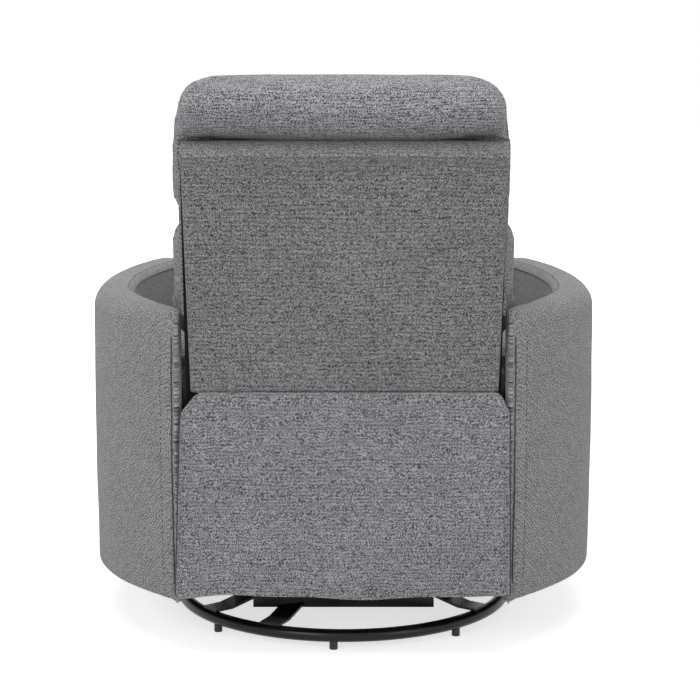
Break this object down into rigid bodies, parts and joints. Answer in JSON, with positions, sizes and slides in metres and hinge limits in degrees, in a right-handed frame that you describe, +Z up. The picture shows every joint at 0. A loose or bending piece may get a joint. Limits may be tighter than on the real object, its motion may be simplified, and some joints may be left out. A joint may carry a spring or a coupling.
{
  "type": "swivel glider recliner",
  "caption": "Barrel armed upholstered recliner on a round swivel base, with glide links, a reclining pillow back, a sliding seat and a folding footrest.",
  "frame": {"origin": "on the floor under the middle of the chair, on the swivel axis", "axes": "+Z up, front of the chair towards -Y, +X towards the sitter's left"},
  "size_m": [0.8828, 0.8318, 0.9625],
  "materials": {
    "grey_upholstery": "woven",
    "black_steel": "satin",
    "zinc_steel": "satin",
    "black_plastic": "matte",
    "hardwood": "plain",
    "webbing": "woven"
  },
  "bodies": {
    "base": {"base_ring": "black_steel", "base_legs": "black_steel", "base_feet": "black_plastic", "lower_race": "black_steel", "kingpin": "zinc_steel", "kingpin_nut": "zinc_steel"},
    "carriage": {"upper_race": "black_steel", "bearing_balls": "zinc_steel", "swivel_plate": "black_steel", "carriage_cross_rails": "black_steel", "carriage_side_rails": "black_steel", "carriage_uprights": "black_steel", "glide_upper_pins": "zinc_steel"},
    "front_links": {"glide_links_front": "zinc_steel", "glide_bushes_front": "black_plastic"},
    "rear_links": {"glide_links_rear": "zinc_steel", "glide_bushes_rear": "black_plastic"},
    "chassis": {"glide_lower_pins": "zinc_steel", "glider_side_plates": "black_steel", "chassis_side_rails": "black_steel", "chassis_cross_tubes": "black_steel", "footrest_pivot_plates": "black_steel", "footrest_root_pins": "zinc_steel", "seat_slide_tracks": "black_steel", "arm_cover_left": "grey_upholstery", "arm_cover_right": "grey_upholstery", "arm_boards": "hardwood", "arm_bolts": "zinc_steel", "lever_bracket": "black_steel", "skirt": "grey_upholstery"},
    "seat": {"seat_side_rails": "black_steel", "seat_cross_rails": "black_steel", "seat_webbing": "webbing", "seat_cushion": "grey_upholstery", "seat_hinge_plates": "black_steel"},
    "back": {"recline_pins": "zinc_steel", "back_hinge_brackets": "black_steel", "back_posts": "hardwood", "back_cross_rails": "hardwood", "back_webbing": "webbing", "outer_back_panel": "grey_upholstery", "lumbar_cushion": "grey_upholstery", "head_cushion": "grey_upholstery"},
    "footrest_drive": {"footrest_drive_bars": "zinc_steel", "footrest_drive_pins": "zinc_steel", "footrest_cross_tube": "black_steel"},
    "footrest_rear_cross": {"footrest_rear_cross_bars": "zinc_steel"},
    "footrest_long": {"footrest_front_long_bars": "zinc_steel", "footrest_long_bar_pins": "zinc_steel"},
    "footrest_front_cross": {"footrest_front_cross_bars": "zinc_steel"},
    "footrest_end": {"footrest_end_bars": "zinc_steel"},
    "footrest": {"footrest_brackets": "zinc_steel", "footrest_bracket_pins": "zinc_steel", "footrest_board": "hardwood", "footrest_pad": "grey_upholstery"},
    "lever": {"release_lever": "black_steel", "lever_grip": "black_plastic", "lever_pivot_pin": "zinc_steel"}
  },
  "joints": [
    {"name": "swivel", "type": "hinge", "parent": "base", "child": "carriage", "pos_m": [0, 0, 0.072], "axis": [0, 0, 1], "continuous": true},
    {"name": "glide", "type": "hinge", "parent": "carriage", "child": "front_links", "pos_m": [0, -0.14, 0.23], "axis": [1, 0, 0], "range_deg": [-18, 18]},
    {"name": "glide_rear", "type": "hinge", "parent": "carriage", "child": "rear_links", "pos_m": [0, 0.14, 0.23], "axis": [1, 0, 0], "range_deg": [-18, 18]},
    {"name": "glide_seat", "type": "hinge", "parent": "front_links", "child": "chassis", "pos_m": [0, -0.14, 0.11], "axis": [1, 0, 0], "range_deg": [-18, 18]},
    {"name": "seat_slide", "type": "slide", "parent": "chassis", "child": "seat", "axis": [0, -1, 0], "range_m": [0, 0.1]},
    {"name": "recline", "type": "hinge", "parent": "seat", "child": "back", "pos_m": [0, 0.15, 0.372], "axis": [-1, 0, 0], "range_deg": [0, 28], "deforming": ["skirt"]},
    {"name": "footrest", "type": "hinge", "parent": "chassis", "child": "footrest_drive", "pos_m": [0, -0.262, 0.295], "axis": [-1, 0, 0], "range_deg": [0, 93]},
    {"name": "footrest_rear_cross", "type": "hinge", "parent": "footrest_drive", "child": "footrest_rear_cross", "pos_m": [0, -0.2811, 0.18667], "axis": [-1, 0, 0], "range_deg": [-140.1, 0]},
    {"name": "footrest_front_cross", "type": "hinge", "parent": "footrest_drive", "child": "footrest_front_cross", "pos_m": [0, -0.3002, 0.07834], "axis": [-1, 0, 0], "range_deg": [-140.1, 0]},
    {"name": "footrest_long", "type": "hinge", "parent": "footrest_rear_cross", "child": "footrest_long", "pos_m": [0, -0.30957, 0.29292], "axis": [-1, 0, 0], "range_deg": [0, 140.1]},
    {"name": "footrest_end", "type": "hinge", "parent": "footrest_long", "child": "footrest_end", "pos_m": [0, -0.34256, 0.10581], "axis": [-1, 0, 0], "range_deg": [-140.1, 0]},
    {"name": "footrest_board", "type": "hinge", "parent": "footrest_front_cross", "child": "footrest", "pos_m": [0, -0.3442, 0.24255], "axis": [-1, 0, 0], "range_deg": [0, 140.1]},
    {"name": "release_lever", "type": "hinge", "parent": "chassis", "child": "lever", "pos_m": [0.352, -0.105, 0.362], "axis": [-1, 0, 0], "range_deg": [0, 25], "stiffness_Nm_per_rad": 3, "springref_deg": -8.59}
  ],
  "couplings": [
    {"joint": "glide_rear", "follows": "glide", "ratio": 1},
    {"joint": "glide_seat", "follows": "glide", "ratio": -1},
    {"joint": "seat_slide", "follows": "recline", "m_per_rad": 0.20463},
    {"joint": "footrest_rear_cross", "follows": "footrest", "ratio": -1.5054},
    {"joint": "footrest_front_cross", "follows": "footrest", "ratio": -1.5054},
    {"joint": "footrest_long", "follows": "footrest", "ratio": 1.5054},
    {"joint": "footrest_end", "follows": "footrest", "ratio": -1.5054},
    {"joint": "footrest_board", "follows": "footrest", "ratio": 1.5054}
  ]
}
